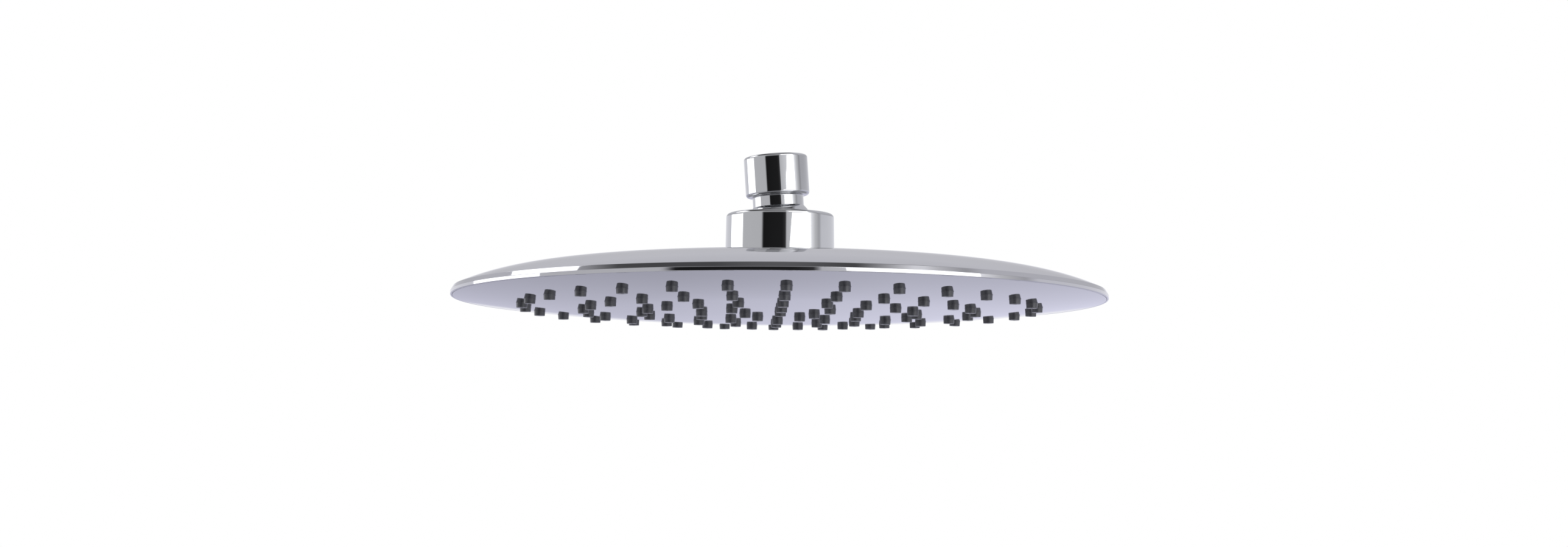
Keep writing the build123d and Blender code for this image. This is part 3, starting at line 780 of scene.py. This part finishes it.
# Light of the surround, as stops of degrees and level. Degrees round the horizon run from straight ahead
# of the camera by its left, back and right, and the others rise from the horizon.
horizon_light = [
    (-180, 0.88),
    (-130, 0.88),
    (-80, 0.72),
    (-40, 0.70),
    (-36, 0.015),
    (5, 0.02),
    (12, 0.05),
    (14, 0.72),
    (24, 0.85),
    (70, 1.3),
    (80, 0.8),
    (92, 0.55),
    (99, 0.85),
    (180, 0.88),
]
least_light = [(0, 0), (11, 0), (17, 0.45), (45, 0.5)]
ahead_share = [(0, 1.0), (7, 1.0), (11, 0.7), (17, 0.68), (28, 0.79), (45, 0.83)]
ceiling_light = [(45, 0.1), (64, 0.1), (76, 0.4), (90, 0.5)]


def light_by_angle(tree, angle, stops):
    """Slightly cool grey light over an angle, between the first and the last of its stops."""
    start, end, coolness = stops[0][0], stops[-1][0], 1.03
    inputs = {"Value": angle, "From Min": radians(start), "From Max": radians(end)}
    share = add(tree, "ShaderNodeMapRange", inputs)
    ramp = add(tree, "ShaderNodeValToRGB", {0: share.outputs[0]})
    elements = ramp.color_ramp.elements
    elements.remove(elements[-1])
    for i, (degree, level) in enumerate(stops):
        place = (degree - start) / (end - start)
        stop = elements.new(place) if i else elements[0]
        stop.position = place
        stop.color = (level, level, level * coolness, 1)
    return ramp.outputs["Color"]


def surround():
    """Studio as the chrome sees it; the camera itself sees plain white."""
    world = bpy.data.worlds.new("studio")
    world.use_nodes = True
    bpy.context.scene.world = world
    tree = world.node_tree
    tree.nodes.clear()
    way = add(tree, "ShaderNodeTexCoord").outputs["Generated"]
    axes = add(tree, "ShaderNodeSeparateXYZ", {0: way}).outputs
    back = add(tree, "ShaderNodeMath", {0: axes["Y"], 1: -1.0}, operation="MULTIPLY").outputs[0]
    turn = add(tree, "ShaderNodeMath", {0: axes["X"], 1: back}, operation="ARCTAN2").outputs[0]
    rise = add(tree, "ShaderNodeMath", {0: axes["Z"]}, operation="ARCSINE").outputs[0]

    # The wall round the horizon has a dark stand behind the camera, which ends a little above the horizon
    walls = {0: 1.0, 6: light_by_angle(tree, turn, horizon_light), 7: light_by_angle(tree, rise, least_light)}
    wall = add(tree, "ShaderNodeMix", walls, data_type="RGBA", blend_type="LIGHTEN").outputs[2]
    inputs = {"Value": axes["Y"], "From Min": -0.1, "From Max": 0.1}
    ahead = add(tree, "ShaderNodeMapRange", inputs).outputs["Result"]
    shades = {0: ahead, 6: wall, 7: light_by_angle(tree, rise, ahead_share)}
    shaded = add(tree, "ShaderNodeMix", shades, data_type="RGBA", blend_type="MULTIPLY").outputs[2]

    # Ahead of the camera a lavender ground lies below the horizon, lighter far off and to the right
    inputs = {"Value": rise, "From Min": 0.0, "From Max": radians(-18)}
    near = add(tree, "ShaderNodeMapRange", inputs).outputs["Result"]
    grounds = {0: near, 6: linear("#CDCDDF"), 7: linear("#BABAC8")}
    ground = add(tree, "ShaderNodeMix", grounds, data_type="RGBA").outputs[2]
    inputs = {"Value": axes["X"], "From Min": -0.05, "From Max": 0.06, "To Min": 0.98, "To Max": 1.2}
    lighter = add(tree, "ShaderNodeMapRange", inputs).outputs["Result"]
    lit = add(tree, "ShaderNodeVectorMath", {0: ground, 3: lighter}, operation="SCALE").outputs[0]
    inputs = {"Value": rise, "From Min": radians(1), "From Max": radians(-1)}
    under = add(tree, "ShaderNodeMapRange", inputs).outputs["Result"]
    low = add(tree, "ShaderNodeMath", {0: under, 1: ahead}, operation="MULTIPLY").outputs[0]
    grounded = add(tree, "ShaderNodeMix", {0: low, 6: shaded, 7: lit}, data_type="RGBA").outputs[2]

    # The ceiling is dark, lighter overhead, and starts a little lower on the left
    slope = {0: axes["X"], 1: -0.1, 2: axes["Z"]}
    slant = add(tree, "ShaderNodeMath", slope, operation="MULTIPLY_ADD").outputs[0]
    inputs = {"Value": slant, "From Min": 0.77, "From Max": 0.86}
    high = add(tree, "ShaderNodeMapRange", inputs).outputs["Result"]
    ceiling = light_by_angle(tree, rise, ceiling_light)
    room = add(tree, "ShaderNodeMix", {0: high, 6: grounded, 7: ceiling}, data_type="RGBA").outputs[2]

    seen = add(tree, "ShaderNodeLightPath").outputs["Is Camera Ray"]
    shown = add(tree, "ShaderNodeMix", {0: seen, 6: room, 7: linear("#FFFFFF")}, data_type="RGBA").outputs[2]
    shine = add(tree, "ShaderNodeBackground", {"Color": shown, "Strength": 1.0})
    add(tree, "ShaderNodeOutputWorld", {"Surface": shine.outputs[0]})


floor()
soft_box("soft_box_left", azimuth=-106, elevation=5, width=1.1, height=0.36, level=1.7)
soft_box("soft_box_left_high", azimuth=-112, elevation=42, width=0.75, height=0.5, level=1.8)
soft_box("soft_box_right", azimuth=45, elevation=5.5, width=1.3, height=0.38, level=2.1, roll=9)
soft_box("soft_box_right_high", azimuth=45, elevation=43, width=1.1, height=0.5, level=2.1)
surround()


def photo_camera():
    """Camera that sees the head as the photograph does."""
    lens = bpy.data.cameras.new("camera")
    lens.sensor_width = 36
    lens.lens = camera_lens
    lens.clip_start, lens.clip_end = 0.05, 20
    made = bpy.data.objects.new("camera", lens)
    bpy.context.scene.collection.objects.link(made)
    aim = Matrix.Rotation(camera_yaw, 4, "Z") @ Matrix.Rotation(pi / 2 + camera_pitch, 4, "X")
    aim = aim @ Matrix.Rotation(camera_roll, 4, "Z")
    made.matrix_world = Matrix.Translation(camera_place * mm) @ aim
    bpy.context.scene.camera = made


photo_camera()
bpy.context.scene.view_settings.view_transform = "Standard"
